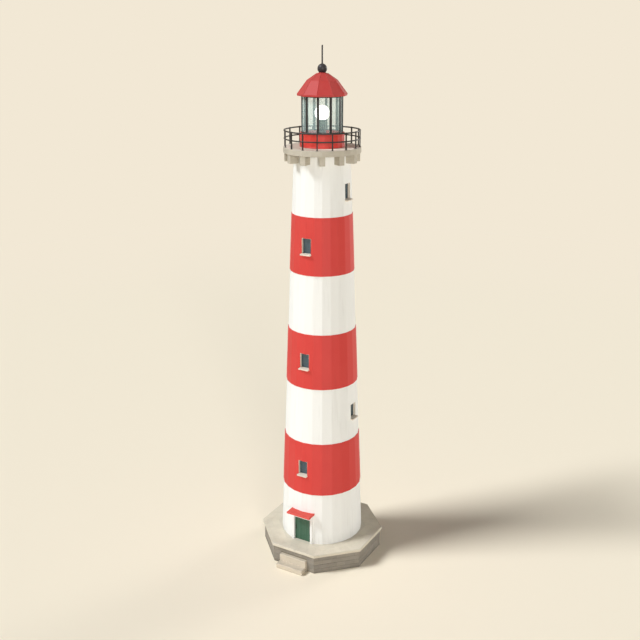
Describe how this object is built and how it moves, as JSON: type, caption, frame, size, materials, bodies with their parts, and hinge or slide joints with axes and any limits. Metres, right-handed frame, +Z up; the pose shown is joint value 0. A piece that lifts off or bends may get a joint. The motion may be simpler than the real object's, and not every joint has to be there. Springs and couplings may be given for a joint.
{
  "type": "lighthouse",
  "caption": "Tapering round masonry lighthouse with red and white bands on an octagonal stone plinth, with a railed gallery, a glazed lantern, a ball finial and a hinged entrance door.",
  "frame": {"origin": "on the tower's axis at ground level, the middle of the plinth's underside", "axes": "+Z up along the tower; the entrance door and steps face -Y; +X to the right of someone looking at the door"},
  "size_m": [9.054, 9.6762, 39.134],
  "materials": {
    "white_render": "painted lime render, matt",
    "red_render": "painted lime render, matt",
    "plinth_stone": "dressed limestone, weathered",
    "step_stone": "dressed limestone, worn",
    "gallery_stone": "dressed limestone",
    "lining_stone": "dressed limestone, pale",
    "red_paint": "satin enamel on plate",
    "green_paint": "oil paint on planks",
    "black_iron": "painted near black",
    "sash_paint": "dark paint",
    "window_glass": "dark window glass",
    "lantern_glass": "pale blue-green storm glass",
    "lamp_glass": "opal glass, lit, emissive",
    "grey_paint": "satin paint"
  },
  "bodies": {
    "tower": {"entrance_hood": "red_paint", "gallery_corbels": "gallery_stone", "gallery_deck": "gallery_stone", "hinge_pintles": "black_iron", "lamp_globe": "lamp_glass", "lamp_pedestal": "grey_paint", "lantern_drum": "red_paint", "lantern_mullions": "black_iron", "lantern_panes": "lantern_glass", "lantern_roof": "red_paint", "lightning_rod": "black_iron", "lower_step": "step_stone", "plinth_body": "plinth_stone", "plinth_cap": "plinth_stone", "portal_jambs": "white_render", "portal_lintel": "white_render", "railing_mid_rail": "black_iron", "railing_posts": "black_iron", "railing_top_rail": "black_iron", "red_band_1_left": "red_render", "red_band_1_right": "red_render", "red_band_2_left": "red_render", "red_band_2_right": "red_render", "red_band_3_left": "red_render", "red_band_3_right": "red_render", "roof_ball": "black_iron", "upper_step": "step_stone", "white_band_1_left": "white_render", "white_band_1_over_door": "white_render", "white_band_1_right": "white_render", "white_band_2_left": "white_render", "white_band_2_right": "white_render", "white_band_3_left": "white_render", "white_band_3_right": "white_render", "white_band_4_left": "white_render", "white_band_4_right": "white_render", "window_linings": "lining_stone", "window_panes": "window_glass", "window_sashes": "sash_paint", "window_sills": "lining_stone"},
    "door": {"door_leaf": "green_paint", "door_straps": "black_iron", "door_handle": "black_iron"}
  },
  "joints": [
    {"name": "door_hinge", "type": "hinge", "parent": "tower", "child": "door", "pos_m": [0.773, -2.902, 2.76], "axis": [0, 0, -1], "range_deg": [0, 90]}
  ]
}
